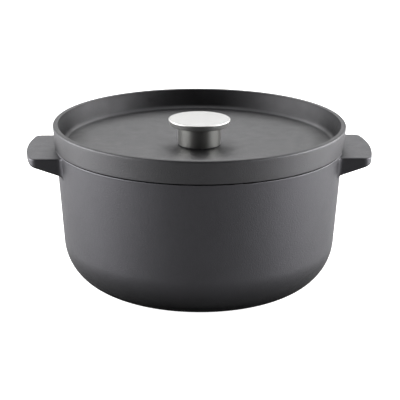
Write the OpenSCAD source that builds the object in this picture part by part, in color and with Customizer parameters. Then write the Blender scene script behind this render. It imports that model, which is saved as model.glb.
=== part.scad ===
// Round cast iron dutch oven: a pot with two cast side handles, and a flat, dished lid
// with a raised rim and a stainless steel knob held by a screw from below.
// Millimetres, +Z up. The origin is the centre of the pot's underside, and the
// handles lie along X.

/* [Pot] */
// Outer diameter of the pot at its rim
rim_d = 265.2; // [230:0.2:290]
// Height of the pot without its lid
pot_h = 132; // [100:1:170]
// Outward lean of the pot's wall, in degrees
wall_lean = 4; // [1:0.1:7]
// Thickness of the pot's wall
wall_t = 4.2; // [3.6:0.1:6]
// Thickness of the pot's floor
floor_t = 4.8; // [4:0.1:7]
// Outer radius between the wall and the underside
corner_r = 46; // [25:1:60]
// Rounding of the pot's rim
rim_round = 0.8; // [0.4:0.1:1.4]

/* [Side handles] */
// Distance over the tips of both handles
handle_span = 318.8; // [305:0.2:340]
// Width of each handle, front to back
handle_w = 85; // [60:1:95]
// Step from the pot's rim down to the handles' flat tops
handle_step = 2; // [1:0.5:6]
// Thickness of each handle at its tip
handle_tip_t = 5.6; // [5:0.1:12]
// Rise of the handles' undersides towards the tips, in degrees
handle_rise = 19; // [8:1:24]
// Radius of the handles' corners, seen from above
handle_corner_r = 7; // [5:0.5:14]
// Radius of the fillets between the handles and the wall
handle_root_r = 3; // [2:0.5:9]

/* [Lid] */
// Height of the lid's rim above the seam
lid_rim_h = 21; // [19:0.5:28]
// Outward lean of the lid's rim, in degrees
lid_lean = 4.4; // [0:0.1:6]
// Thickness of the lid's rim at its top
lid_rim_t = 4.8; // [4:0.1:6]
// Outward lean of the rim's inner face, in degrees
lid_inner_lean = 15; // [8:1:18]
// Depth of the plate's edge below the top of the rim
plate_depth = 18.2; // [16:0.1:20]
// Fall of the plate from its edge to the knob
plate_dish = 3.5; // [0:0.5:4]
// Thickness of the plate
plate_t = 4.2; // [3.5:0.1:5]
// Radius between the plate and the rim's inner face
plate_fillet_r = 5; // [3:0.5:7]
// Distance the lid reaches out past the pot's rim
lid_overhang = 0.8; // [0:0.1:1.5]
// Gap at the seam between the lid and the pot
seam_gap = 0.7; // [0.2:0.1:0.8]
// Depth of the lip that centres the lid in the pot
lip_depth = 7.2; // [6.5:0.1:12]
// Play between the lip and the pot's wall
lip_play = 1; // [0.6:0.1:1.6]
// Height of the drip nubs under the lid
nub_h = 2.4; // [1.5:0.1:3]

/* [Knob] */
// Diameter of the knob's top
knob_d = 57.4; // [48:0.2:70]
// Thickness of the knob's top
knob_cap_t = 5.3; // [4:0.1:8]
// Diameter of the stem
stem_d = 39.6; // [32:0.1:42]
// Height of the stem
stem_h = 18.3; // [15:0.1:24]
// Wall thickness of the hollow stem
stem_wall = 1.6; // [1.2:0.1:3]
// Thickness of the heat-resistant gasket under the stem
gasket_t = 0.8; // [0.6:0.1:1.5]

/* [Screw and washers] */
// Diameter of the screw
screw_d = 6; // [5:0.5:6]
// Diameter of the screw's head
head_d = 12; // [11:0.5:13]
// Height of the screw's head
head_h = 3.6; // [3:0.1:4.2]
// Diameter of the flat washer
washer_d = 16; // [14:0.5:18]
// Thickness of each washer
washer_t = 1.6; // [1.2:0.1:2]

/* [Hidden] */
$fn = 96;

IRON = "#3b3c3f";
STEEL = "#b9babb";
RUBBER = "#1d1d1e";

// How far cutting shapes run past what they cut
over = 1;
rim_r = rim_d / 2;

// Pot: the corner arc is tangent to the leaning wall and to the flat underside.
corner_cx = rim_r - pot_h * tan(wall_lean) + corner_r * tan(wall_lean)
    - corner_r / cos(wall_lean);
inner_top_r = rim_r - wall_t;
inner_corner_r = corner_r - floor_t;

// Handles
handle_top_z = pot_h - handle_step;
handle_r = handle_span / 2;
handle_corner_x = sqrt(pow(handle_r - handle_corner_r, 2)
    - pow(handle_w / 2 - handle_corner_r, 2));
handle_tip_angle = asin((handle_w / 2 - handle_corner_r) / (handle_r - handle_corner_r));
// The handle's own solid starts this far inside the rim, within the wall and below it
handle_root_depth = 25;
handle_root_x = rim_r - handle_root_depth;
// The root fillets are tangent to a circle this far inside the rim, so they cut the wall
fillet_bite = 1;

// Lid
lid_z = pot_h + seam_gap;
lid_top_z = lid_z + lid_rim_h;
lid_low_r = rim_r + lid_overhang;
lid_top_r = lid_low_r + lid_rim_h * tan(lid_lean);
lid_top_round = 1.7;
lid_inner_round = 1.2;
lid_low_round = 0.8;
lid_inner_top_r = lid_top_r - lid_rim_t;
plate_edge_z = lid_top_z - plate_depth;
plate_fillet_z = plate_edge_z + plate_fillet_r;
lid_inner_low_r = lid_inner_top_r - (lid_top_z - plate_fillet_z) * tan(lid_inner_lean);
plate_edge_r = lid_inner_low_r - plate_fillet_r;
// The knob sits on a flat that is this much wider than the stem all round
knob_seat_margin = 5;
knob_seat_r = stem_d / 2 + knob_seat_margin;
seat_z = plate_edge_z - plate_dish;
lip_top_r = inner_top_r - lip_play;
lip_draft = 0.2;
lip_low_r = lip_top_r - lip_depth * tan(wall_lean) - lip_draft;
lip_t = 3.6;
lip_z = lid_z - lip_depth;
lip_round = 1;
lip_fillet_r = 4;
// Low boss under the plate that the washers press on
boss_r = 13;
boss_h = 1.6;
boss_z = seat_z - plate_t - boss_h;
screw_play = 0.6;
screw_hole_d = screw_d + screw_play;
// Each ring of drip nubs: its radius and how many nubs it has
NUB_RINGS = [[38, 6], [62, 12], [86, 18], [108, 24]];
nub_tip_d = 2.4;
nub_root_d = 8;
nub_root_h = 1.5;

// Knob
gasket_z = seat_z;
stem_z = gasket_z + gasket_t;
cap_z = stem_z + stem_h;
spigot_h = 3;
stem_in_r = stem_d / 2 - stem_wall;
stem_round = 0.5;
cap_round = 0.8;
// The cap's lower edge is this much further in than its upper one
cap_taper = 1;
spigot_chamfer = 0.5;
core_base_t = 3;
core_boss_d = 15;
thread_play = 0.2;
thread_d = screw_d + thread_play;

// Screw stack, from the boss down
flat_z = boss_z - washer_t;
lock_z = flat_z - washer_t;
head_z = lock_z - head_h;
// The screw stops this far below the cap's spigot
screw_end_gap = 2;
thread_end_gap = 0.5;
screw_top_z = cap_z - spigot_h - screw_end_gap;
screw_chamfer = 0.5;
head_round = 2;
recess_l = head_d * 0.5;
recess_w = 1.3;
recess_depth = head_h * 0.6;
flat_bore_d = screw_d + 0.4;
lock_bore_d = screw_d + 0.2;
lock_d = head_d - 0.4;
lock_split_w = 0.8;
lock_split_slant = 20;

// Points of an arc about c with radius r, from angle a to angle b
function arc(c, r, a, b, n = 8) =
    [for (i = [0 : n]) let (t = a + (b - a) * i / n) c + r * [cos(t), sin(t)]];

// Height of the plate's top at radius r
function plate_z(r) = seat_z +
    plate_dish * max(0, r - knob_seat_r) / (plate_edge_r - knob_seat_r);

// Outline of a leaning wall over a rounded corner, from the axis out and up to z_top.
// The corner's centre is c, its radius r, and the wall reaches top_r at pot_h.
function bowl_line(c, r, top_r, z_top) = concat(
    [[0, c[1] - r]],
    arc(c, r, -90, -wall_lean, 16),
    [[top_r - (pot_h - z_top) * tan(wall_lean), z_top]]
);

module pot_outside() {
    c = [corner_cx, corner_r];
    rotate_extrude($fn = 180) polygon(concat(
        bowl_line(c, corner_r, rim_r, pot_h - rim_round),
        arc([rim_r - rim_round, pot_h - rim_round], rim_round, 0, 90, 5),
        [[0, pot_h]]
    ));
}

module pot_inside() {
    inner_cx = inner_top_r - (pot_h - floor_t) * tan(wall_lean)
        + inner_corner_r * tan(wall_lean) - inner_corner_r / cos(wall_lean);
    c = [inner_cx, floor_t + inner_corner_r];
    rotate_extrude($fn = 180) polygon(concat(
        bowl_line(c, inner_corner_r, inner_top_r, pot_h - rim_round),
        [[inner_top_r + rim_round, pot_h], [inner_top_r + rim_round, pot_h + over],
         [0, pot_h + over]]
    ));
}

// Handle seen from above: an arc about the pot's axis, round corners, root fillets
module handle_plan() {
    half_w = handle_w / 2;
    tip = [handle_r * cos(handle_tip_angle), handle_r * sin(handle_tip_angle)];
    polygon([
        [handle_root_x, -half_w], [handle_corner_x, -half_w], [tip[0], -tip[1]],
        [tip[0], tip[1]], [handle_corner_x, half_w], [handle_root_x, half_w]
    ]);
    intersection() {
        circle(r = handle_r);
        translate([handle_corner_x, -tip[1]])
            square([handle_r - handle_corner_x + over, 2 * tip[1]]);
    }
    for (side = [-1, 1]) {
        translate([handle_corner_x, side * (half_w - handle_corner_r)])
            circle(r = handle_corner_r);
        handle_root_fillet(side);
    }
}

// Fillet between a handle's side and the wall
module handle_root_fillet(side) {
    wall_r = rim_r - fillet_bite;
    cy = handle_w / 2 + handle_root_r;
    cx = sqrt(pow(wall_r + handle_root_r, 2) - pow(cy, 2));
    wall_x = cx * wall_r / (wall_r + handle_root_r);
    wall_y = cy * wall_r / (wall_r + handle_root_r);
    difference() {
        polygon([
            [handle_root_x, 0], [cx, 0], [cx, side * handle_w / 2], [cx, side * cy],
            [wall_x, side * wall_y], [handle_root_x, side * handle_w / 2]
        ]);
        translate([cx, side * cy]) circle(r = handle_root_r);
    }
}

module handle() {
    tip_z = handle_top_z - handle_tip_t;
    root_z = tip_z - (handle_r - handle_root_x) * tan(handle_rise);
    intersection() {
        translate([0, 0, root_z - over])
            linear_extrude(height = handle_top_z - root_z + over) handle_plan();
        translate([0, handle_w, 0]) rotate([90, 0, 0])
            linear_extrude(height = 2 * handle_w) polygon([
                [handle_root_x - over, handle_top_z], [handle_r + over, handle_top_z],
                [handle_r + over, tip_z], [handle_r, tip_z],
                [handle_root_x - over, root_z]
            ]);
    }
}

module pot() {
    color(IRON) difference() {
        union() {
            pot_outside();
            for (turn = [0, 180]) rotate([0, 0, turn]) handle();
        }
        pot_inside();
    }
}

// Half of the lid's section, from the axis out
module lid_section() {
    slope = atan(plate_dish / (plate_edge_r - knob_seat_r));
    lip_fillet_x = lip_low_r - lip_t - lip_fillet_r;
    polygon(concat(
        [[0, seat_z], [knob_seat_r, seat_z]],
        arc([plate_edge_r, plate_fillet_z], plate_fillet_r, -90 + slope, -lid_inner_lean),
        arc([lid_inner_top_r + lid_inner_round, lid_top_z - lid_inner_round],
            lid_inner_round, 180 - lid_inner_lean, 90, 5),
        arc([lid_top_r - lid_top_round, lid_top_z - lid_top_round],
            lid_top_round, 90, -lid_lean, 6),
        arc([lid_low_r - lid_low_round, lid_z + lid_low_round],
            lid_low_round, 0, -90, 5),
        [[lip_top_r, lid_z]],
        arc([lip_low_r - lip_round, lip_z + lip_round], lip_round, 0, -90, 4),
        arc([lip_low_r - lip_t + lip_round, lip_z + lip_round], lip_round, -90, -180, 4),
        arc([lip_fillet_x, plate_z(lip_fillet_x) - plate_t - lip_fillet_r],
            lip_fillet_r, 0, 90, 6),
        [[knob_seat_r, seat_z - plate_t], [boss_r + boss_h, seat_z - plate_t],
         [boss_r, boss_z], [0, boss_z]]
    ));
}

module drip_nub() {
    cylinder(h = nub_h + nub_root_h, d1 = nub_tip_d, d2 = nub_root_d, $fn = 24);
}

module lid() {
    color(IRON) difference() {
        union() {
            rotate_extrude($fn = 180) lid_section();
            for (ring = NUB_RINGS)
                for (i = [0 : ring[1] - 1])
                    rotate([0, 0, 360 * (i + 0.5) / ring[1]])
                        translate([ring[0], 0, plate_z(ring[0]) - plate_t - nub_h])
                            drip_nub();
        }
        translate([0, 0, boss_z - over])
            cylinder(h = seat_z - boss_z + 2 * over, d = screw_hole_d);
    }
}

// Top of the knob, with the spigot that is pressed into the stem
module knob_cap() {
    low_round = cap_round / 2;
    color(STEEL) rotate_extrude($fn = 128) polygon(concat(
        [[0, cap_z - spigot_h], [stem_in_r - spigot_chamfer, cap_z - spigot_h],
         [stem_in_r, cap_z - spigot_h + spigot_chamfer], [stem_in_r, cap_z]],
        arc([knob_d / 2 - cap_taper - low_round, cap_z + low_round], low_round, -90, -15, 4),
        arc([knob_d / 2 - cap_round, cap_z + knob_cap_t - cap_round], cap_round, -15, 90, 6),
        [[0, cap_z + knob_cap_t]]
    ));
}

module knob_stem() {
    color(STEEL) rotate_extrude($fn = 128) polygon(concat(
        [[stem_in_r, stem_z]],
        arc([stem_d / 2 - stem_round, stem_z + stem_round], stem_round, -90, 0, 4),
        [[stem_d / 2, cap_z], [stem_in_r, cap_z]]
    ));
}

// Core inside the stem, with the thread that the screw turns into
module knob_core() {
    color(STEEL) translate([0, 0, stem_z]) difference() {
        union() {
            cylinder(h = core_base_t, r = stem_in_r);
            cylinder(h = stem_h - spigot_h, d = core_boss_d);
        }
        translate([0, 0, -over])
            cylinder(h = screw_top_z + thread_end_gap - stem_z + over, d = thread_d);
    }
}

module knob_gasket() {
    color(RUBBER) translate([0, 0, gasket_z])
        washer(stem_d - stem_round, screw_hole_d, gasket_t);
}

module knob_screw() {
    color(STEEL) difference() {
        union() {
            rotate_extrude() polygon(concat(
                [[0, head_z]],
                arc([head_d / 2 - head_round, head_z + head_round], head_round, -90, 0, 6),
                [[head_d / 2, lock_z], [0, lock_z]]
            ));
            translate([0, 0, lock_z])
                cylinder(h = screw_top_z - screw_chamfer - lock_z, d = screw_d);
            translate([0, 0, screw_top_z - screw_chamfer])
                cylinder(h = screw_chamfer, d1 = screw_d, d2 = screw_d - 2 * screw_chamfer);
        }
        for (turn = [0, 90])
            rotate([0, 0, turn]) translate([-recess_l / 2, -recess_w / 2, head_z - over])
                cube([recess_l, recess_w, recess_depth + over]);
    }
}

module washer(outer_d, bore_d, t) {
    difference() {
        cylinder(h = t, d = outer_d);
        translate([0, 0, -over]) cylinder(h = t + 2 * over, d = bore_d);
    }
}

module flat_washer() {
    color(STEEL) translate([0, 0, flat_z]) washer(washer_d, flat_bore_d, washer_t);
}

// Spring washer, pressed flat, with its slanting split
module lock_washer() {
    color(STEEL) translate([0, 0, lock_z]) difference() {
        washer(lock_d, lock_bore_d, washer_t);
        rotate([-lock_split_slant, 0, 0])
            translate([0, -lock_split_w / 2, -2 * washer_t])
                cube([lock_d, lock_split_w, 5 * washer_t]);
    }
}

pot();
lid();
knob_cap();
knob_stem();
knob_core();
knob_gasket();
knob_screw();
flat_washer();
lock_washer();
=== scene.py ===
"""Looks of the cast iron dutch oven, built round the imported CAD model.

Lengths are in millimetres until a mesh is made, and MM turns them into metres; the camera,
the floor and the lights are placed in metres. The pot and the lid are castings, each one
closed mesh. The knob's pieces and the fasteners are turned, stamped or threaded. Every piece
replaces its CAD node at the same size and place.
"""

import math

import bmesh
import bpy
import numpy as np
from mathutils import Matrix, Vector
from mathutils.geometry import delaunay_2d_cdt


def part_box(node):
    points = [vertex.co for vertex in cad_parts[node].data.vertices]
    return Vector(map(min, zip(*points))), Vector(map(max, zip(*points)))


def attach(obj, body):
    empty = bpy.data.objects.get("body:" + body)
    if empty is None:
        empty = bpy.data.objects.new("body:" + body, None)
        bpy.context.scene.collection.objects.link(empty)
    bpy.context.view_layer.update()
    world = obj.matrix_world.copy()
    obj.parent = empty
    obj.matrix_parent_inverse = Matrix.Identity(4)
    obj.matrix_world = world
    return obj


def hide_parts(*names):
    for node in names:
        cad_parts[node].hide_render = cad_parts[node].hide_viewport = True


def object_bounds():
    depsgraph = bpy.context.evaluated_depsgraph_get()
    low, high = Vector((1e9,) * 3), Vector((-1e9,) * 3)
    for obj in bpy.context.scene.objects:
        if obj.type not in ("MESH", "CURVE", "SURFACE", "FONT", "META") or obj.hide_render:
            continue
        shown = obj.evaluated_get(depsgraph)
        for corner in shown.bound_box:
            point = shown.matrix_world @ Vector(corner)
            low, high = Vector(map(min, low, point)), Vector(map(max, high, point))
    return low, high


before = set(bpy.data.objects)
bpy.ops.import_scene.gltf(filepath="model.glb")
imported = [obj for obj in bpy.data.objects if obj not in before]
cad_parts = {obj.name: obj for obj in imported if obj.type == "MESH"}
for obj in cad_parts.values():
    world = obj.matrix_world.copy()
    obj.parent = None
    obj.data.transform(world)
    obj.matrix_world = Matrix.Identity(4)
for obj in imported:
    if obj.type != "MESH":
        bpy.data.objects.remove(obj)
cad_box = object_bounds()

MM = 0.001


def node_box(node):
    """Lowest and highest corner of a CAD node, in millimetres."""
    low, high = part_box(node)
    return np.array(low) / MM, np.array(high) / MM


# ---------------------------------------------------------------- sizes, from the frame

POT_HIGH = node_box("pot")[1]
LID_LOW, LID_HIGH = node_box("lid")
CAP_LOW, CAP_HIGH = node_box("knob_cap")
STEM_LOW, STEM_HIGH = node_box("knob_stem")
CORE_LOW, CORE_HIGH = node_box("knob_core")
GASKET_LOW, GASKET_HIGH = node_box("knob_gasket")
SCREW_LOW, SCREW_HIGH = node_box("knob_screw")
FLAT_LOW, FLAT_HIGH = node_box("flat_washer")
LOCK_LOW, LOCK_HIGH = node_box("lock_washer")

# Pot
POT_H = POT_HIGH[2]
RIM_R = POT_HIGH[1]
WALL_LEAN = math.radians(4)
WALL_T = 4.2
FLOOR_T = 4.8
CORNER_R = 46
RIM_ROUND = 0.8
INNER_RIM_ROUND = 0.8

# Radii of the rings of points across the pot's flat base and flat floor
BASE_RINGS = (15, 35, 55, 70, 79)
FLOOR_RINGS = (80, 70, 55, 35, 15)

# Handles
HANDLE_R = POT_HIGH[0]
HANDLE_HALF_W = 42.5
HANDLE_CORNER_R = 7
HANDLE_TOP = POT_H - 2
HANDLE_TIP_T = 5.6
HANDLE_RISE = math.radians(19)
HANDLE_EDGE_R = 1.7
HANDLE_ROOT_R = 3
LEDGE_ROUND = 0.8
HANDLE_LOW_END = 100
HANDLE_ROWS = 72

# Lid
LID_Z = LID_HIGH[2] - 21
LID_TOP = LID_HIGH[2]
LID_TOP_R = LID_HIGH[0]
LID_LEAN = math.radians(4.4)
LID_INNER_LEAN = math.radians(15)
LID_RIM_T = 4.8
LID_TOP_ROUND = 1.7
LID_INNER_ROUND = 1.2
LID_LOW_ROUND = 0.8
PLATE_EDGE_Z = LID_TOP - 18.2
PLATE_FILLET_R = 5
PLATE_T = 4.2
SEAT_Z = GASKET_LOW[2]
SEAT_R = STEM_HIGH[0] + 5
LIP_Z = LID_LOW[2]
LIP_T = 3.6
LIP_PLAY = 1
LIP_DRAFT = 0.2
LIP_ROUND = 1
LIP_FILLET_R = 4
LIP_TOP_R = RIM_R - WALL_T - LIP_PLAY
BOSS_R = 13
BOSS_Z = FLAT_HIGH[2]
BOSS_ROUND = 0.6
SCREW_HOLE_R = 3.3
SCREW_HOLE_BEVEL = 0.3
NUB_H = 2.4
NUB_R = 4.2

# Radius of each ring of drip nubs, and how many stand on it
NUB_RINGS = ((38, 6), (62, 12), (86, 18), (108, 24))

# Knob and fasteners
CAP_EDGE_R = 0.8
CAP_TAPER = 1
CAP_Z = STEM_HIGH[2]
STEM_INNER_R = STEM_HIGH[0] - 1.6
CORE_FLANGE_T = 3
CORE_POST_R = 7.5
CORE_FILLET_R = 0.8
SCREW_R = 3
THREAD_PITCH = 1
THREAD_DEPTH = 0.5
THREAD_PLAY = 0.1

# Meshes
LID_COLUMNS = 288
KNOB_COLUMNS = 160
FASTENER_COLUMNS = 48
SHARP_EDGE = math.radians(35)


# ---------------------------------------------------------------- outlines and meshes


def arc(centre, radius, start, end, steps):
    """Points (r, z) of an arc; the angles are in degrees."""
    turns = np.radians(np.linspace(start, end, steps + 1))
    return [(centre[0] + radius * math.cos(t), centre[1] + radius * math.sin(t)) for t in turns]


def line(start, end, steps):
    """Points between two ends of a line, without the ends."""
    start, end = np.array(start, float), np.array(end, float)
    return [tuple(start + (end - start) * i / steps) for i in range(1, steps)]


def circle_angles(columns):
    return np.linspace(0, 2 * math.pi, columns, endpoint=False)


def ring(point, angles):
    """One outline point turned about Z; a point on the axis stays one point."""
    r, z = point
    if r < 1e-6:
        return np.array([[0, 0, z]])
    return np.stack([r * np.cos(angles), r * np.sin(angles), np.full(len(angles), z)], 1)


def skin(rings, closed=False):
    """Vertices and faces of the surface through rings of points; a ring of one point is a pole."""
    starts = np.cumsum([0] + [len(r) for r in rings])
    faces = []
    last = len(rings) if closed else len(rings) - 1
    for a in range(last):
        b = (a + 1) % len(rings)
        count_a, count_b = len(rings[a]), len(rings[b])
        for i in range(max(count_a, count_b)):
            j = (i + 1) % max(count_a, count_b)
            loop = [
                starts[a] + i % count_a, starts[a] + j % count_a,
                starts[b] + j % count_b, starts[b] + i % count_b,
            ]
            faces.append(list(dict.fromkeys(int(v) for v in loop)))
    return np.concatenate(rings), faces


def make_piece(name, vertices, faces):
    """A mesh object from points in millimetres, closed, with its normals out."""
    mesh = bpy.data.meshes.new(name)
    mesh.from_pydata((np.asarray(vertices) * MM).tolist(), [], faces)
    bm = bmesh.new()
    bm.from_mesh(mesh)
    bmesh.ops.remove_doubles(bm, verts=bm.verts, dist=0.002 * MM)
    bmesh.ops.recalc_face_normals(bm, faces=bm.faces)
    if bm.calc_volume(signed=True) < 0:
        bmesh.ops.reverse_faces(bm, faces=bm.faces)
    bm.to_mesh(mesh)
    bm.free()
    mesh.shade_smooth()
    mesh.set_sharp_from_angle(angle=SHARP_EDGE)
    piece = bpy.data.objects.new(name, mesh)
    bpy.context.scene.collection.objects.link(piece)
    return piece


def place(piece, body, node, material):
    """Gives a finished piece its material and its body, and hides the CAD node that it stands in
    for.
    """
    piece.data.materials.append(material)
    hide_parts(node)
    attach(piece, body)


# ---------------------------------------------------------------- pot


def wall_radius(z):
    return RIM_R - (POT_H - z) * math.tan(WALL_LEAN)


def round_and(a, b, radius):
    """Solid inside both fields, with the edge between them rounded."""
    corner = np.hypot(np.maximum(a + radius, 0), np.maximum(b + radius, 0))
    return np.minimum(-radius, np.maximum(a, b)) + corner


def round_or(a, b, radius):
    """Solid inside either field, with a fillet between them."""
    corner = np.hypot(np.maximum(radius - a, 0), np.maximum(radius - b, 0))
    return np.maximum(radius, np.minimum(a, b)) - corner


def handle_plan(x, y):
    """Distance outside the handle's outline seen from above."""
    corner_y = HANDLE_HALF_W - HANDLE_CORNER_R
    corner_x = math.sqrt((HANDLE_R - HANDLE_CORNER_R) ** 2 - corner_y**2)
    tip_angle = math.atan2(corner_y, corner_x)
    y = np.abs(y)
    straight = np.maximum(np.hypot(x, y) - HANDLE_R, y - HANDLE_HALF_W)
    rounded = np.hypot(x - corner_x, y - corner_y) - HANDLE_CORNER_R
    in_corner = (x > corner_x) & (np.arctan2(y, x) > tip_angle)
    return np.where(in_corner, rounded, straight)


def pot_field(x, y, z):
    """Below zero inside the pot's wall or its handles, for heights under the handles' tops."""
    x = np.abs(x)
    wall = (np.hypot(x, y) - wall_radius(z)) * math.cos(WALL_LEAN)
    above = z - HANDLE_TOP
    tip_z = HANDLE_TOP - HANDLE_TIP_T
    below = (tip_z - (HANDLE_R - x) * math.tan(HANDLE_RISE) - z) * math.cos(HANDLE_RISE)
    bar = round_and(handle_plan(x, y), above - LEDGE_ROUND, HANDLE_EDGE_R + LEDGE_ROUND)
    bar = round_and(bar, below, HANDLE_EDGE_R)
    cast = round_or(wall, bar, HANDLE_ROOT_R)
    return np.minimum(wall, round_and(cast, above, LEDGE_ROUND))


def pot_angles():
    """Columns round the pot, closest where the handles' sides cross them."""
    quarter = np.concatenate([
        np.arange(0, 12, 0.75), np.arange(12, 22, 0.2), np.arange(22, 26, 0.5),
        np.linspace(26, 90, 40, endpoint=False),
    ])
    first = np.concatenate([quarter, 180 - quarter[::-1][:-1], [90]])
    half = np.sort(first)
    return np.radians(np.concatenate([half, half[:-1] + 180]))


def trace_columns(angles):
    """Walks down the pot's outside in every column at once, from the handles' tops."""
    step, steps = 0.1, 900
    cos, sin = np.cos(angles), np.sin(angles)
    small = 1e-4

    def field(r, z):
        return pot_field(r * cos, r * sin, z)

    def slope(r, z):
        across = field(r + small, z) - field(r - small, z)
        along = field(r, z + small) - field(r, z - small)
        return across / (2 * small), along / (2 * small)

    r = np.full(len(angles), wall_radius(HANDLE_TOP))
    z = np.full(len(angles), float(HANDLE_TOP))
    on_ledge = field(r + step, z - step) < 0
    go_r = np.where(on_ledge, 1.0, -math.sin(WALL_LEAN))
    go_z = np.where(on_ledge, 0.0, -math.cos(WALL_LEAN))
    walk = [np.stack([r, z], 1)]
    for _ in range(steps):
        r, z = r + step * go_r, z + step * go_z
        for _ in range(3):
            grad_r, grad_z = slope(r, z)
            push = field(r, z) / np.maximum(grad_r**2 + grad_z**2, 1e-3)
            push = np.clip(push, -step, step)
            r, z = r - push * grad_r, z - push * grad_z
        grad_r, grad_z = slope(r, z)
        size = np.hypot(grad_r, grad_z)
        go_r, go_z = grad_z / size, -grad_r / size
        walk.append(np.stack([r, z], 1))
    return np.array(walk)


def spread(path, rows):
    """Points of one column's path; a turn of 150 degrees gets as many as a length of 45 mm."""
    straight, turn = 45, math.radians(150)
    end = np.argmax(path[:, 1] < HANDLE_LOW_END)
    path = path[: end + 1].copy()
    above, below = path[-2], path[-1]
    share = (above[1] - HANDLE_LOW_END) / (above[1] - below[1])
    path[-1] = above + (below - above) * share
    steps = np.diff(path, axis=0)
    lengths = np.hypot(steps[:, 0], steps[:, 1])
    heading = np.unwrap(np.arctan2(steps[:, 1], steps[:, 0]))
    turning = np.abs(np.diff(heading, prepend=heading[0]))
    measure = np.concatenate([[0], np.cumsum(lengths / straight + turning / turn)])
    wanted = np.linspace(0, measure[-1], rows + 1)
    return np.stack([np.interp(wanted, measure, path[:, i]) for i in (0, 1)], 1)


def handle_rings(angles):
    """Rings from below the handles up to the crease under the pot's rim."""
    paths = trace_columns(angles)
    columns = np.array([spread(paths[:, i], HANDLE_ROWS) for i in range(len(angles))])
    rings = []
    for row in range(HANDLE_ROWS, -1, -1):
        r, z = columns[:, row, 0], columns[:, row, 1]
        rings.append(np.stack([r * np.cos(angles), r * np.sin(angles), z], 1))
    return rings


def corner_centre(top_r, low_z, radius):
    """Centre of the arc that is tangent to a leaning wall and to a flat floor."""
    return (
        top_r - (POT_H - low_z - radius) * math.tan(WALL_LEAN) - radius / math.cos(WALL_LEAN),
        low_z + radius,
    )


def pot_outline_low():
    """The pot's outside, from the middle of its base up to below the handles."""
    centre = corner_centre(RIM_R, 0, CORNER_R)
    flat = [(0, 0)] + [(r, 0) for r in BASE_RINGS]
    bend = arc(centre, CORNER_R, -90, -math.degrees(WALL_LEAN), 30)
    end = (wall_radius(HANDLE_LOW_END), HANDLE_LOW_END)
    return flat + bend + line(bend[-1], end, 16)


def pot_outline_top():
    """Over the rim and down inside to the middle of the floor."""
    lean = math.degrees(WALL_LEAN)
    inner_r = RIM_R - WALL_T
    outer = (RIM_R - RIM_ROUND, POT_H - RIM_ROUND)
    inner = (inner_r + INNER_RIM_ROUND, POT_H - INNER_RIM_ROUND)
    centre = corner_centre(inner_r, FLOOR_T, CORNER_R - FLOOR_T)
    bend = arc(centre, CORNER_R - FLOOR_T, -lean, -90, 26)
    over_rim = arc(outer, RIM_ROUND, -lean, 90, 7)
    over_rim += line(over_rim[-1], (inner[0], POT_H), 4)
    over_rim += arc(inner, INNER_RIM_ROUND, 90, 180 - lean, 7)
    flat = [(r, FLOOR_T) for r in FLOOR_RINGS] + [(0, FLOOR_T)]
    return over_rim + line(over_rim[-1], bend[0], 26) + bend + flat


def build_pot():
    angles = pot_angles()
    rings = [ring(p, angles) for p in pot_outline_low()]
    rings += handle_rings(angles)
    rings += [ring(p, angles) for p in pot_outline_top()]
    return make_piece("pot_casting", *skin(rings))


# ---------------------------------------------------------------- lid


def plate_edge_radius():
    fillet_z = PLATE_EDGE_Z + PLATE_FILLET_R
    inner_low = LID_TOP_R - LID_RIM_T - (LID_TOP - fillet_z) * math.tan(LID_INNER_LEAN)
    return inner_low - PLATE_FILLET_R


def plate_height(r):
    """Height of the plate's top, which falls from its edge to the knob's seat."""
    share = np.maximum(0, np.asarray(r) - SEAT_R) / (plate_edge_radius() - SEAT_R)
    return SEAT_Z + (PLATE_EDGE_Z - SEAT_Z) * share


def lip_low_radius():
    return LIP_TOP_R - (LID_Z - LIP_Z) * math.tan(WALL_LEAN) - LIP_DRAFT


def lid_lip_outline():
    """From the plate's underside round the locating lip to the seat on the pot's rim."""
    lip_r = lip_low_radius()
    hollow_r = lip_r - LIP_T - LIP_FILLET_R
    hollow_z = float(plate_height(hollow_r)) - PLATE_T
    outer = (lip_r - LIP_ROUND, LIP_Z + LIP_ROUND)
    inner = (lip_r - LIP_T + LIP_ROUND, LIP_Z + LIP_ROUND)
    points = arc((hollow_r, hollow_z - LIP_FILLET_R), LIP_FILLET_R, 90, 0, 10)
    points += arc(inner, LIP_ROUND, 180, 270, 6)
    points += arc(outer, LIP_ROUND, -90, 0, 6)
    return points + line(points[-1], (LIP_TOP_R, LID_Z), 4)


def lid_rim_outline():
    """From the seat out and up, over the rim and down to the plate's edge."""
    lean, inner_lean = math.degrees(LID_LEAN), math.degrees(LID_INNER_LEAN)
    low_r = LID_TOP_R - (LID_TOP - LID_Z) * math.tan(LID_LEAN)
    low = (low_r - LID_LOW_ROUND, LID_Z + LID_LOW_ROUND)
    top = (LID_TOP_R - LID_TOP_ROUND, LID_TOP - LID_TOP_ROUND)
    inner = (LID_TOP_R - LID_RIM_T + LID_INNER_ROUND, LID_TOP - LID_INNER_ROUND)
    edge = (plate_edge_radius(), PLATE_EDGE_Z + PLATE_FILLET_R)
    slope = math.degrees(math.atan((PLATE_EDGE_Z - SEAT_Z) / (plate_edge_radius() - SEAT_R)))
    seat = [(LIP_TOP_R, LID_Z)] + line((LIP_TOP_R, LID_Z), (low[0], LID_Z), 4)
    seat += arc(low, LID_LOW_ROUND, -90, -lean, 7)
    over_rim = arc(top, LID_TOP_ROUND, -lean, 90, 12)
    over_rim += arc(inner, LID_INNER_ROUND, 90, 180 - inner_lean, 8)
    fillet = arc(edge, PLATE_FILLET_R, -inner_lean, slope - 90, 14)
    return (
        seat + line(seat[-1], over_rim[0], 10)
        + over_rim + line(over_rim[-1], fillet[0], 8) + fillet)


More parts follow.
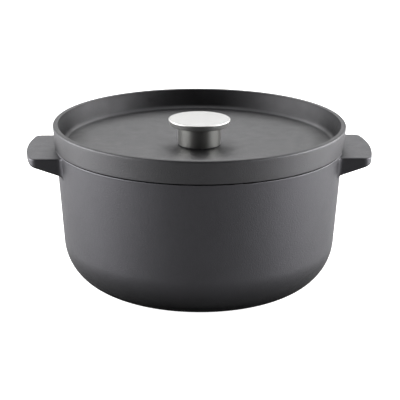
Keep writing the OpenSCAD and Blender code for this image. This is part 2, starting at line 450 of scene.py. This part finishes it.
def lid_hub_outline():
    """From the knob's seat through the screw's hole to the boss under the plate."""
    bevel = SCREW_HOLE_BEVEL
    boss = arc((BOSS_R - BOSS_ROUND, BOSS_Z + BOSS_ROUND), BOSS_ROUND, -90, -45, 3)
    points = [(SEAT_R, SEAT_Z), (12, SEAT_Z)]
    points += [(SCREW_HOLE_R + bevel, SEAT_Z), (SCREW_HOLE_R, SEAT_Z - bevel)]
    points += [(SCREW_HOLE_R, BOSS_Z + bevel), (SCREW_HOLE_R + bevel, BOSS_Z), (8, BOSS_Z)]
    points += boss + [(BOSS_R + SEAT_Z - PLATE_T - BOSS_Z, SEAT_Z - PLATE_T)]
    return points + [(SEAT_R, SEAT_Z - PLATE_T)]


def lid_outline():
    """The lid's section from the plate's underside round the rim to the underside's boss."""
    rim, hub = lid_rim_outline(), lid_hub_outline()
    return lid_lip_outline() + rim + line(rim[-1], hub[0], 24) + hub


def nub_centres():
    """Centres of the drip nubs under the lid."""
    return np.array([
        (r * math.cos(t), r * math.sin(t))
        for r, count in NUB_RINGS
        for t in (np.arange(count) + 0.5) * 2 * math.pi / count
    ])


def underside_points(inner_r, outer_r):
    """Points of the lid's underside: its two edges, rings round each nub, and a coarse net."""
    angles = circle_angles(LID_COLUMNS)
    edges = [np.stack([r * np.cos(angles), r * np.sin(angles)], 1) for r in (inner_r, outer_r)]
    centres = nub_centres()
    around = circle_angles(20)
    nubs = [centres]
    for share in (0.14, 0.26, 0.38, 0.5, 0.62, 0.74, 0.87, 1.0, 1.2):
        spokes = np.stack([np.cos(around), np.sin(around)], 1) * NUB_R * share
        nubs.append((centres[:, None] + spokes[None]).reshape(-1, 2))
    net = []
    for r in np.arange(inner_r + 3, outer_r - 1, 3):
        turns = circle_angles(int(2 * math.pi * r / 4))
        net.append(np.stack([r * np.cos(turns), r * np.sin(turns)], 1))
    net = np.concatenate(net)
    gaps = np.linalg.norm(net[:, None] - centres[None], axis=2).min(1)
    return np.concatenate(edges + nubs + [net[gaps > NUB_R * 1.2 + 1.2]])


def lid_underside():
    """The plate's underside with its drip nubs, as vertices and triangles."""
    inner_r = SEAT_R
    outer_r = lip_low_radius() - LIP_T - LIP_FILLET_R
    flat = underside_points(inner_r, outer_r)
    count = LID_COLUMNS
    rims = [(s + i, s + (i + 1) % count) for s in (0, count) for i in range(count)]
    points, _, triangles, _, _, _ = delaunay_2d_cdt(
        [Vector(p) for p in flat], rims, [], 0, 1e-5)
    points = np.array(points)
    r = np.hypot(points[:, 0], points[:, 1])
    triangles = [list(t) for t in triangles if r[list(t)].max() > inner_r + 0.01]
    near = np.linalg.norm(points[:, None] - nub_centres()[None], axis=2).min(1)
    rise = np.clip((NUB_R - near) / (NUB_R - 0.7), 0, 1)
    bump = NUB_H * rise * rise * (3 - 2 * rise)
    z = plate_height(r) - PLATE_T - bump
    return np.column_stack([points, z]), triangles


def build_lid():
    angles = circle_angles(LID_COLUMNS)
    rings, ring_faces = skin([ring(p, angles) for p in lid_outline()])
    plate, plate_faces = lid_underside()
    shifted = [[v + len(rings) for v in face] for face in plate_faces]
    return make_piece("lid_casting", np.concatenate([rings, plate]), ring_faces + shifted)


# ---------------------------------------------------------------- knob and fasteners


def turned(name, outline, columns, closed=False, thread=None):
    """A piece turned about Z. thread(r, z, angle) may move the outline's points in or out."""
    angles = circle_angles(columns)
    rings = []
    for r, z in outline:
        points = ring((r, z), angles)
        if thread and len(points) > 1:
            radii = thread(r, z, angles)
            points[:, 0], points[:, 1] = radii * np.cos(angles), radii * np.sin(angles)
        rings.append(points)
    return make_piece(name, *skin(rings, closed))


def build_cap():
    top_r, low_z, top_z = CAP_HIGH[0], CAP_LOW[2], CAP_HIGH[2]
    spigot_bevel = 0.5
    low_round = CAP_EDGE_R / 2
    low = (top_r - CAP_TAPER - low_round, CAP_Z + low_round)
    top = (top_r - CAP_EDGE_R, top_z - CAP_EDGE_R)
    under = arc(low, low_round, -90, -15, 6)
    over = arc(top, CAP_EDGE_R, -15, 90, 12)
    spigot = (STEM_INNER_R, CAP_Z)
    points = [(0, low_z), (8, low_z), (STEM_INNER_R - spigot_bevel, low_z)]
    points += [(STEM_INNER_R, low_z + spigot_bevel), spigot]
    points += line(spigot, under[0], 5) + under
    points += line(under[-1], over[0], 5) + over
    points += [(r, top_z) for r in (27, 26, 24, 20, 15, 10, 5)] + [(0, top_z)]
    return turned("knob_disc", points, KNOB_COLUMNS)


def build_stem():
    r, low_z, top_z = STEM_HIGH[0], STEM_LOW[2], STEM_HIGH[2]
    low_round = 0.5
    outside = arc((r - low_round, low_z + low_round), low_round, -90, 0, 6)
    points = outside + line(outside[-1], (r, top_z), 16) + [(r, top_z)]
    points += [(STEM_INNER_R, top_z), (STEM_INNER_R, low_z)]
    return turned("knob_tube", points, KNOB_COLUMNS, closed=True)


def wave(turn):
    """A thread's section: 0 at its root and 1 at its crest, with short flats at both."""
    return np.clip(0.5 + 0.75 * (2 * np.abs(2 * (turn % 1) - 1) - 1), 0, 1)


def build_core():
    low_z, top_z = CORE_LOW[2], CORE_HIGH[2]
    flange_z = low_z + CORE_FLANGE_T
    hole_top = SCREW_HIGH[2] + 0.5
    bore_r = SCREW_R + THREAD_PLAY
    rows = np.arange(low_z + 0.8, hole_top - 0.5, THREAD_PITCH / 10)

    def thread(r, z, angles):
        if abs(r - bore_r) > 1e-6 or not rows[0] <= z <= rows[-1]:
            return np.full(len(angles), r)
        return r - THREAD_DEPTH * (1 - wave(z / THREAD_PITCH - angles / (2 * math.pi)))

    points = [(0, hole_top + 0.9), (bore_r, hole_top)]
    points += [(bore_r, z) for z in rows[::-1]]
    bevel = 0.3
    points += [(bore_r, low_z + 0.5), (bore_r + 0.5, low_z), (10, low_z)]
    points += [(STEM_INNER_R - bevel, low_z), (STEM_INNER_R, low_z + bevel)]
    points += [(STEM_INNER_R, flange_z - bevel), (STEM_INNER_R - bevel, flange_z)]
    fillet = (CORE_POST_R + CORE_FILLET_R, flange_z + CORE_FILLET_R)
    points += arc(fillet, CORE_FILLET_R, -90, -180, 4)
    points += [(CORE_POST_R, top_z - 0.4), (CORE_POST_R - 0.4, top_z), (3, top_z), (0, top_z)]
    return turned("knob_insert", points, FASTENER_COLUMNS, thread=thread)


def build_gasket():
    r, low_z, top_z = GASKET_HIGH[0], GASKET_LOW[2], GASKET_HIGH[2]
    mid_z, half = (low_z + top_z) / 2, (top_z - low_z) / 2
    points = arc((r - half, mid_z), half, -90, 90, 8)
    points += [(18, top_z), (10, top_z), (SCREW_HOLE_R, top_z)]
    points += [(SCREW_HOLE_R, low_z), (10, low_z), (18, low_z)]
    return turned("gasket_ring", points, KNOB_COLUMNS, closed=True)


def cross_recess(z, width, length, depth):
    """A tapering cross that cuts the screw's head."""
    half_w, half_l = width / 2, length / 2
    corners = [(half_l, -half_w), (half_l, half_w), (half_w, half_w)]
    cross = [
        (x * math.cos(t) - y * math.sin(t), x * math.sin(t) + y * math.cos(t))
        for t in np.radians([0, 90, 180, 270])
        for x, y in corners
    ]
    rings = [
        np.array([(x * k, y * k, z + up) for x, y in cross])
        for up, k in ((-1, 1.15), (0, 1), (depth, 0.45))
    ]
    middle = [np.array([[0, 0, z + up]]) for up in (-1, depth + 0.4)]
    return make_piece("cross_cutter", *skin([middle[0]] + rings + [middle[1]]))


def cut(piece, cutter):
    """Takes the cutter out of the piece and deletes it."""
    modifier = piece.modifiers.new("cut", "BOOLEAN")
    modifier.operation = "DIFFERENCE"
    modifier.solver = "EXACT"
    modifier.object = cutter
    graph = bpy.context.evaluated_depsgraph_get()
    mesh = bpy.data.meshes.new_from_object(piece.evaluated_get(graph))
    piece.modifiers.clear()
    piece.data = mesh
    mesh.set_sharp_from_angle(angle=SHARP_EDGE)
    bpy.data.objects.remove(cutter)


def build_screw():
    head_r, head_z = SCREW_HIGH[0], SCREW_LOW[2]
    neck_z, top_z = LOCK_LOW[2], SCREW_HIGH[2]
    rows = np.arange(neck_z + 1, top_z - 1, THREAD_PITCH / 10)

    def thread(r, z, angles):
        if abs(r - SCREW_R) > 1e-6 or not rows[0] <= z <= rows[-1]:
            return np.full(len(angles), r)
        return r - THREAD_DEPTH * wave(z / THREAD_PITCH - angles / (2 * math.pi))

    dome_r = 2
    dome = arc((head_r - dome_r, head_z + dome_r), dome_r, -90, -5, 10)
    points = [(0, head_z)] + [(r, head_z) for r in (1.2, 2.4, 3.4)] + dome
    points += [(head_r, neck_z - 0.2), (head_r - 0.2, neck_z), (4.5, neck_z)]
    points += [(SCREW_R, neck_z), (SCREW_R, neck_z + 0.6)]
    points += [(SCREW_R, z) for z in rows]
    points += [(SCREW_R - 0.5, top_z - 0.5), (SCREW_R - 1, top_z), (0, top_z)]
    screw = turned("knob_bolt", points, FASTENER_COLUMNS, thread=thread)
    cut(screw, cross_recess(head_z, width=1.3, length=6, depth=2.2))
    return screw


def build_flat_washer():
    r, low_z, top_z = FLAT_HIGH[0], FLAT_LOW[2], FLAT_HIGH[2]
    bore_r = SCREW_R + 0.2
    edge, bore_edge, bevel, middle_r = 0.45, 0.3, 0.1, 5.5
    points = arc((r - edge, low_z + edge), edge, -90, 0, 5)
    points += [(r, top_z - bevel), (r - bevel, top_z), (middle_r, top_z)]
    points += [(bore_r + bevel, top_z), (bore_r, top_z - bevel)]
    points += arc((bore_r + bore_edge, low_z + bore_edge), bore_edge, 180, 270, 4)
    points += [(middle_r, low_z)]
    return turned("washer_flat", points, FASTENER_COLUMNS * 2, closed=True)


def build_lock_washer():
    """A square ring with one slanting slit."""
    outer_r, low_z, top_z = LOCK_HIGH[1], LOCK_LOW[2], LOCK_HIGH[2]
    inner_r = SCREW_R + 0.1
    edge = 0.18
    section = []
    corners = (
        (outer_r - edge, low_z + edge, -90), (outer_r - edge, top_z - edge, 0),
        (inner_r + edge, top_z - edge, 90), (inner_r + edge, low_z + edge, 180),
    )
    for r, z, start in corners:
        section += arc((r, z), edge, start, start + 90, 3)
    mid_z = (low_z + top_z) / 2
    half_gap, slant = 0.4, math.radians(20)
    columns = FASTENER_COLUMNS * 2
    rows = []
    for i in range(columns + 1):
        points = []
        for r, z in section:
            shift = (z - mid_z) * math.tan(slant)
            first = math.asin((half_gap - shift) / r)
            last = 2 * math.pi - math.asin((half_gap + shift) / r)
            turn = first + (last - first) * i / columns
            points.append((r * math.cos(turn), r * math.sin(turn), z))
        rows.append(np.array(points))
    vertices, faces = skin(rows)
    count = len(section)
    ends = [list(range(count)), list(range(columns * count, (columns + 1) * count))]
    return make_piece("washer_split", vertices, faces + ends)


# ---------------------------------------------------------------- materials


class Nodes:
    """Short names for making and joining shader nodes."""

    def __init__(self, name):
        self.material = bpy.data.materials.new(name)
        self.material.use_nodes = True
        self.tree = self.material.node_tree
        self.shader = self.tree.nodes["Principled BSDF"]
        coordinates = self.add("ShaderNodeTexCoord")
        self.place = coordinates.outputs["Object"]
        self.facing = coordinates.outputs["Normal"]

    def add(self, kind, **settings):
        node = self.tree.nodes.new(kind)
        for key, value in settings.items():
            setattr(node, key, value)
        return node

    def join(self, source, target):
        self.tree.links.new(source, target)

    def stretched(self, scale):
        """The place on the object, stretched along its axes."""
        node = self.add("ShaderNodeMapping")
        node.inputs["Scale"].default_value = scale
        self.join(self.place, node.inputs["Vector"])
        return node.outputs["Vector"]

    def noise(self, scale, detail=2.0, roughness=0.5, at=None):
        node = self.add("ShaderNodeTexNoise")
        node.inputs["Scale"].default_value = scale
        node.inputs["Detail"].default_value = detail
        node.inputs["Roughness"].default_value = roughness
        self.join(at or self.place, node.inputs["Vector"])
        return node.outputs["Fac"]

    def parts(self, vector, axes):
        """A vector's numbers along these axes."""
        node = self.add("ShaderNodeSeparateXYZ")
        self.join(vector, node.inputs[0])
        return [node.outputs[axis] for axis in axes]

    def flat(self):
        """The place without its height."""
        node = self.add("ShaderNodeVectorMath", operation="MULTIPLY")
        node.inputs[1].default_value = (1, 1, 0)
        self.join(self.place, node.inputs[0])
        return node.outputs[0]

    def radius(self):
        """Distance from the vertical axis."""
        node = self.add("ShaderNodeVectorMath", operation="LENGTH")
        self.join(self.flat(), node.inputs[0])
        return node.outputs["Value"]

    def outward(self):
        """1 where the surface faces away from the vertical axis, -1 where it faces it."""
        away = self.add("ShaderNodeVectorMath", operation="NORMALIZE")
        self.join(self.flat(), away.inputs[0])
        dot = self.add("ShaderNodeVectorMath", operation="DOT_PRODUCT")
        self.join(away.outputs[0], dot.inputs[0])
        self.join(self.facing, dot.inputs[1])
        return dot.outputs["Value"]

    def upward(self):
        """1 where the surface faces up, -1 where it faces down."""
        return self.parts(self.facing, "Z")[0]

    def size_of(self, value):
        """The value without its sign."""
        node = self.add("ShaderNodeMath", operation="ABSOLUTE")
        self.join(value, node.inputs[0])
        return node.outputs[0]

    def pair(self, operation, a, b):
        node = self.add("ShaderNodeMath", operation=operation)
        self.join(a, node.inputs[0])
        self.join(b, node.inputs[1])
        return node.outputs[0]

    def times(self, a, b):
        return self.pair("MULTIPLY", a, b)

    def larger(self, a, b):
        return self.pair("MAXIMUM", a, b)

    def between(self, value, low, high, to_low, to_high):
        """A value's range mapped onto another."""
        node = self.add("ShaderNodeMapRange")
        names = ("From Min", "From Max", "To Min", "To Max")
        for name, number in zip(names, (low, high, to_low, to_high)):
            node.inputs[name].default_value = number
        self.join(value, node.inputs["Value"])
        return node.outputs["Result"]

    def rising(self, length, low_mm, high_mm):
        """A share that is 0 up to the low length and 1 from the high one."""
        return self.between(length, low_mm * MM, high_mm * MM, 0, 1)

    def falling(self, length, low_mm, high_mm):
        """A share that is 1 up to the low length and 0 from the high one."""
        return self.between(length, low_mm * MM, high_mm * MM, 1, 0)

    def scaled(self, value, share, factor):
        """The value, times the factor where the share is 1."""
        return self.times(value, self.between(share, 0, 1, 1, factor))

    def ramp(self, value, points):
        """A curve of straight lines through the points, for a value of -1 to 1."""
        node = self.add("ShaderNodeValToRGB")
        elements = node.color_ramp.elements
        while len(elements) < len(points):
            elements.new(0.5)
        for element, (at, height) in zip(elements, points):
            element.position = (at + 1) / 2
            element.color = (height, height, height, 1)
        self.join(self.between(value, -1, 1, 0, 1), node.inputs["Fac"])
        return node.outputs["Color"]

    def mix(self, share, a, b):
        node = self.add("ShaderNodeMix", data_type="RGBA")
        self.join(share, node.inputs[0])
        for socket, value in ((node.inputs[6], a), (node.inputs[7], b)):
            if isinstance(value, tuple):
                socket.default_value = (*value, 1)
            else:
                self.join(value, socket)
        return node.outputs[2]

    def bump(self, height, strength, distance_mm):
        node = self.add("ShaderNodeBump")
        node.inputs["Strength"].default_value = strength
        node.inputs["Distance"].default_value = distance_mm * MM
        self.join(height, node.inputs["Height"])
        return node.outputs["Normal"]

    def set(self, **values):
        """Plain values and links on the shader; a socket's spaces are underscores."""
        for name, value in values.items():
            socket = self.shader.inputs[name.replace("_", " ")]
            if isinstance(value, bpy.types.NodeSocket):
                self.join(value, socket)
            else:
                socket.default_value = value
        return self.material


# The iron's gloss, which paints shade and reflection by facing, for a surface that faces the
# vertical axis (-1) up to one that faces away (1)
IRON_GLOSS_AND_SHADE = ((-0.96, 0.12), (-0.8, 0.5), (-0.5, 0.9), (-0.15, 0.48), (0.3, 0.48), (0.95, 0.76))


def iron_gloss_and_shade(n):
    """The iron's gloss by how much a surface faces outwards, which paints shade and reflection, set
    for the front view.
    """
    return n.ramp(n.outward(), IRON_GLOSS_AND_SHADE)


def pot_gloss_and_shade(n):
    """Painted shade: the underside and the rim's top, which the lid covers, have nearly no gloss.
    """
    height = n.parts(n.place, "Z")[0]
    # Painted shade under the pot: surfaces that face down lose their gloss
    underside = n.between(n.upward(), -0.74, 0, 1, 0)
    gloss = n.scaled(iron_gloss_and_shade(n), underside, 0.03)
    # Painted shade in the seam: the rim's top loses its gloss
    return n.scaled(gloss, n.rising(height, POT_H - 0.3, POT_H - 0.1), 0.05)


def shade_over_handle(n):
    """1 low on the lid's wall over a handle, where painted shade goes, and 0 elsewhere."""
    x, y, z = n.parts(n.place, "XYZ")
    share = n.times(n.rising(n.size_of(x), 100, 120), n.falling(n.size_of(y), 30, 52))
    return n.times(share, n.falling(z, LID_Z + 1, LID_Z + 16))


def shade_at_seam(n):
    """1 on the lid's locating lip, its seat and the edge over the seam, where painted shade darkens
    the seam, and 0 elsewhere.
    """
    height = n.parts(n.place, "Z")[0]
    return n.times(n.falling(height, LID_Z, LID_Z + 0.7), n.rising(n.radius(), 118, 120))


def shade_on_rim_top(n):
    """1 on the top of the lid's rim, where painted shade dims its highlight, and 0 elsewhere."""
    return n.rising(n.parts(n.place, "Z")[0], LID_TOP - 2, LID_TOP - 1)


def reflection_on_inner_sides(n):
    """1 on the sides of the rim's inner wall, where a painted reflection goes, and 0 on the rest of
    the lid.
    """
    sides = n.rising(n.size_of(n.parts(n.place, "X")[0]), 20, 75)
    return n.times(sides, n.between(n.outward(), -0.96, -0.9, 1, 0))


def shade_outer_middle(n):
    """1 at the front and back of the lid's outer wall, where painted shade goes, and 0 on its sides
    and elsewhere.
    """
    middle = n.falling(n.size_of(n.parts(n.place, "X")[0]), 30, 100)
    return n.times(middle, n.between(n.outward(), 0.9, 0.96, 0, 1))


def shade_near_knob(n):
    """1 on the plate just in front of the knob, less beside and behind it, where painted shade goes
    round the knob's foot, and 0 elsewhere.
    """
    y = n.parts(n.place, "Y")[0]
    return n.times(n.falling(n.radius(), 20, 42), n.between(y, -20 * MM, 0, 1, 0.2))


def lid_gloss_and_shade(n):
    """Painted shade in five places and a painted reflection on the rim's inner sides, made by
    scaling the gloss, set for the front view.
    """
    # Each mask and the factor that scales the gloss there, to paint shade or reflection
    changes = (
        (shade_over_handle, 0.25), (shade_at_seam, 0), (shade_on_rim_top, 0.7),
        (reflection_on_inner_sides, 2), (shade_outer_middle, 0.84), (shade_near_knob, 0.1),
    )
    gloss = iron_gloss_and_shade(n)
    for where, factor in changes:
        gloss = n.scaled(gloss, where(n), factor)
    return gloss


def cast_iron(name, tint, pebble_mm, gloss_and_shade_of):
    """Seasoned cast iron: a black, pebbled skin with a low gloss, scaled in places to paint shade
    and reflection.
    """
    n = Nodes(name)
    share = n.between(n.noise(22, 4, 0.6), 0.35, 0.65, 0, 1)
    color = n.mix(share, (0.002, 0.002, 0.0022), (0.005, 0.005, 0.0055))
    rough = n.between(n.noise(90, 3, 0.6), 0.3, 0.7, 0.52, 0.58)
    pebbles = n.bump(n.noise(950, 2, 0.6), 1.0, pebble_mm)
    # The specular level carries the painted shade and reflection of the gloss masks
    return n.set(
        Base_Color=color, Roughness=rough, Normal=pebbles,
        Specular_IOR_Level=gloss_and_shade_of(n), Specular_Tint=(*tint, 1))


def brushed(name, color, rough, streaks, uneven=0.02, anisotropic=0.4, edge=None):
    """Steel with fine lines along the way that it was turned or brushed.

    The edge, if there is one, is a radius, the roughness of the steel beyond it, and a share of the
    color there, which paints shade on the edge and side.
    """
    n = Nodes(name)
    lines = n.noise(1, 3, 0.6, at=n.stretched(streaks))
    line_rough = n.between(lines, 0.3, 0.7, rough - uneven, rough + uneven)
    dark = tuple(c * (1 - 2 * uneven) for c in color)
    tint = n.mix(n.between(n.noise(40, 3), 0.35, 0.65, 0, 1), dark, color)
    if edge:
        radius, edge_rough, shade = edge
        outside = n.rising(n.radius(), radius - 0.2, radius + 0.2)
        line_rough = n.larger(line_rough, n.between(outside, 0, 1, 0, edge_rough))
        # Painted shade: the color is darker beyond the edge's radius
        tint = n.mix(outside, tint, tuple(c * shade for c in color))
    return n.set(
        Base_Color=tint, Metallic=1.0, Roughness=line_rough, Anisotropic=anisotropic,
        Normal=n.bump(lines, uneven, 0.02))


def rubber(name):
    n = Nodes(name)
    rough = n.between(n.noise(400, 2), 0.3, 0.7, 0.6, 0.75)
    color = n.mix(n.noise(60, 2), (0.012, 0.012, 0.012), (0.022, 0.022, 0.022))
    return n.set(Base_Color=color, Roughness=rough, Normal=n.bump(n.noise(900, 2), 0.2, 0.05))


# ---------------------------------------------------------------- camera, floor and lights

# Angles in degrees, but the roll in radians; the lens in millimetres
CAMERA_AZIMUTH = -1.83
CAMERA_ELEVATION = 17.43
CAMERA_ROLL = 0.0054
CAMERA_DISTANCE = 1.4
CAMERA_LENS = 134.2
CAMERA_SHIFT = Vector((0.0009, 0, -0.0006))

FLOOR_HALF = 40
FLOOR_GAP = 0.0002
FLOOR_GLOW = 1
WORLD_LEVEL = 0.002

LIGHT_DISTANCE = 1.5
LIGHT_AIM = Vector((0, 0, 0.09))

# Name, azimuth, elevation, width and height in metres, watts
LIGHTS = (
    ("side_left", -90, 12, (1.8, 0.66), 80),
    ("side_right", 90, 12, (1.8, 0.66), 80),
    ("back_left", -148, 42, (0.8, 0.88), 12),
    ("back_right", 148, 42, (0.8, 0.88), 12),
    ("behind_high", 180, 42, (0.6, 0.88), 7),
    ("behind_low", 180, 12, (1.2, 0.66), 2),
    ("above", 0, 89.9, (1.2, 1.2), 8),
)


def direction(azimuth, elevation):
    """Points away from the pot; azimuth 0 is in front of it and 90 on its right."""
    a, e = math.radians(azimuth), math.radians(elevation)
    return Vector((math.sin(a) * math.cos(e), -math.cos(a) * math.cos(e), math.sin(e)))


def add_camera():
    target = (cad_box[0] + cad_box[1]) / 2 + CAMERA_SHIFT
    back = direction(CAMERA_AZIMUTH, CAMERA_ELEVATION)
    data = bpy.data.cameras.new("camera")
    data.sensor_width = 36
    data.lens = CAMERA_LENS
    data.clip_end = 50
    camera = bpy.data.objects.new("camera", data)
    turn = (-back).to_track_quat("-Z", "Y").to_matrix()
    camera.matrix_world = (
        Matrix.Translation(target + back * CAMERA_DISTANCE)
        @ turn.to_4x4() @ Matrix.Rotation(CAMERA_ROLL, 4, "Z"))
    bpy.context.scene.collection.objects.link(camera)
    bpy.context.scene.camera = camera


def add_light(name, azimuth, elevation, size, watts):
    """A soft box that faces the pot and that the camera doesn't see."""
    out = direction(azimuth, elevation)
    data = bpy.data.lights.new(name, "AREA")
    data.shape = "RECTANGLE"
    data.size, data.size_y = size
    data.energy = watts
    lamp = bpy.data.objects.new(name, data)
    lamp.location = LIGHT_AIM + out * LIGHT_DISTANCE
    lamp.rotation_euler = out.to_track_quat("Z", "Y").to_euler()
    lamp.visible_camera = False
    bpy.context.scene.collection.objects.link(lamp)


def camera_only(tree, low, high):
    """A number that is high for what the camera sees itself, and low for all other light."""
    path = tree.nodes.new("ShaderNodeLightPath")
    level = tree.nodes.new("ShaderNodeMapRange")
    level.inputs["To Min"].default_value = low
    level.inputs["To Max"].default_value = high
    tree.links.new(path.outputs["Is Camera Ray"], level.inputs["Value"])
    return level.outputs["Result"]


def add_floor():
    """A pale floor that looks white, and that lights the pot only with what falls on it."""
    half = FLOOR_HALF
    mesh = bpy.data.meshes.new("floor")
    corners = [(-half, -half, 0), (half, -half, 0), (half, half, 0), (-half, half, 0)]
    mesh.from_pydata(corners, [], [(0, 1, 2, 3)])
    floor = bpy.data.objects.new("floor", mesh)
    floor.location.z = -FLOOR_GAP
    n = Nodes("floor_paint")
    shade = n.mix(n.noise(3, 2), (0.34, 0.34, 0.34), (0.36, 0.36, 0.36))
    glow = camera_only(n.tree, 0, FLOOR_GLOW)
    mesh.materials.append(n.set(
        Base_Color=shade, Roughness=0.9, Emission_Color=(1, 1, 1, 1), Emission_Strength=glow))
    bpy.context.scene.collection.objects.link(floor)


def add_world():
    """White behind the object; a dim grey for everything that the object reflects."""
    world = bpy.data.worlds.new("studio")
    world.use_nodes = True
    bpy.context.scene.world = world
    tree = world.node_tree
    background = tree.nodes["Background"]
    background.inputs["Color"].default_value = (1, 1, 1, 1)
    tree.links.new(camera_only(tree, WORLD_LEVEL, 1), background.inputs["Strength"])


# ---------------------------------------------------------------- the scene

add_camera()
add_world()
add_floor()
for light in LIGHTS:
    add_light(*light)
bpy.context.scene.view_settings.view_transform = "Standard"

# The knob's disc beyond this radius has this roughness, and this share of its color as painted
# shade on its edge and side
disc_edge_and_shade = (CAP_HIGH[0] - CAP_TAPER - 0.2, 0.42, 0.62)
pot_iron = cast_iron("pot_iron", (0.93, 0.915, 1.0), 0.13, pot_gloss_and_shade)
lid_iron = cast_iron("lid_iron", (0.965, 0.955, 1.0), 0.2, lid_gloss_and_shade)
top_steel = brushed(
    "knob_top_steel", (0.56, 0.56, 0.55), 0.24, (300, 300, 300), 0.008, 0, disc_edge_and_shade)
stem_steel = brushed("knob_stem_steel", (0.35, 0.35, 0.335), 0.3, (20, 20, 2500), 0.01, 0)
core_steel = brushed("knob_core_steel", (0.5, 0.5, 0.5), 0.35, (60, 60, 2500), 0.04)
fastener_steel = brushed("fastener_steel", (0.58, 0.58, 0.57), 0.3, (60, 60, 1500), 0.04)
gasket_rubber = rubber("gasket_rubber")

place(build_pot(), "pot", "pot", pot_iron)
place(build_lid(), "lid", "lid", lid_iron)
place(build_cap(), "lid", "knob_cap", top_steel)
place(build_stem(), "lid", "knob_stem", stem_steel)
place(build_core(), "lid", "knob_core", core_steel)
place(build_gasket(), "lid", "knob_gasket", gasket_rubber)
place(build_screw(), "lid", "knob_screw", fastener_steel)
place(build_flat_washer(), "lid", "flat_washer", fastener_steel)
place(build_lock_washer(), "lid", "lock_washer", fastener_steel)
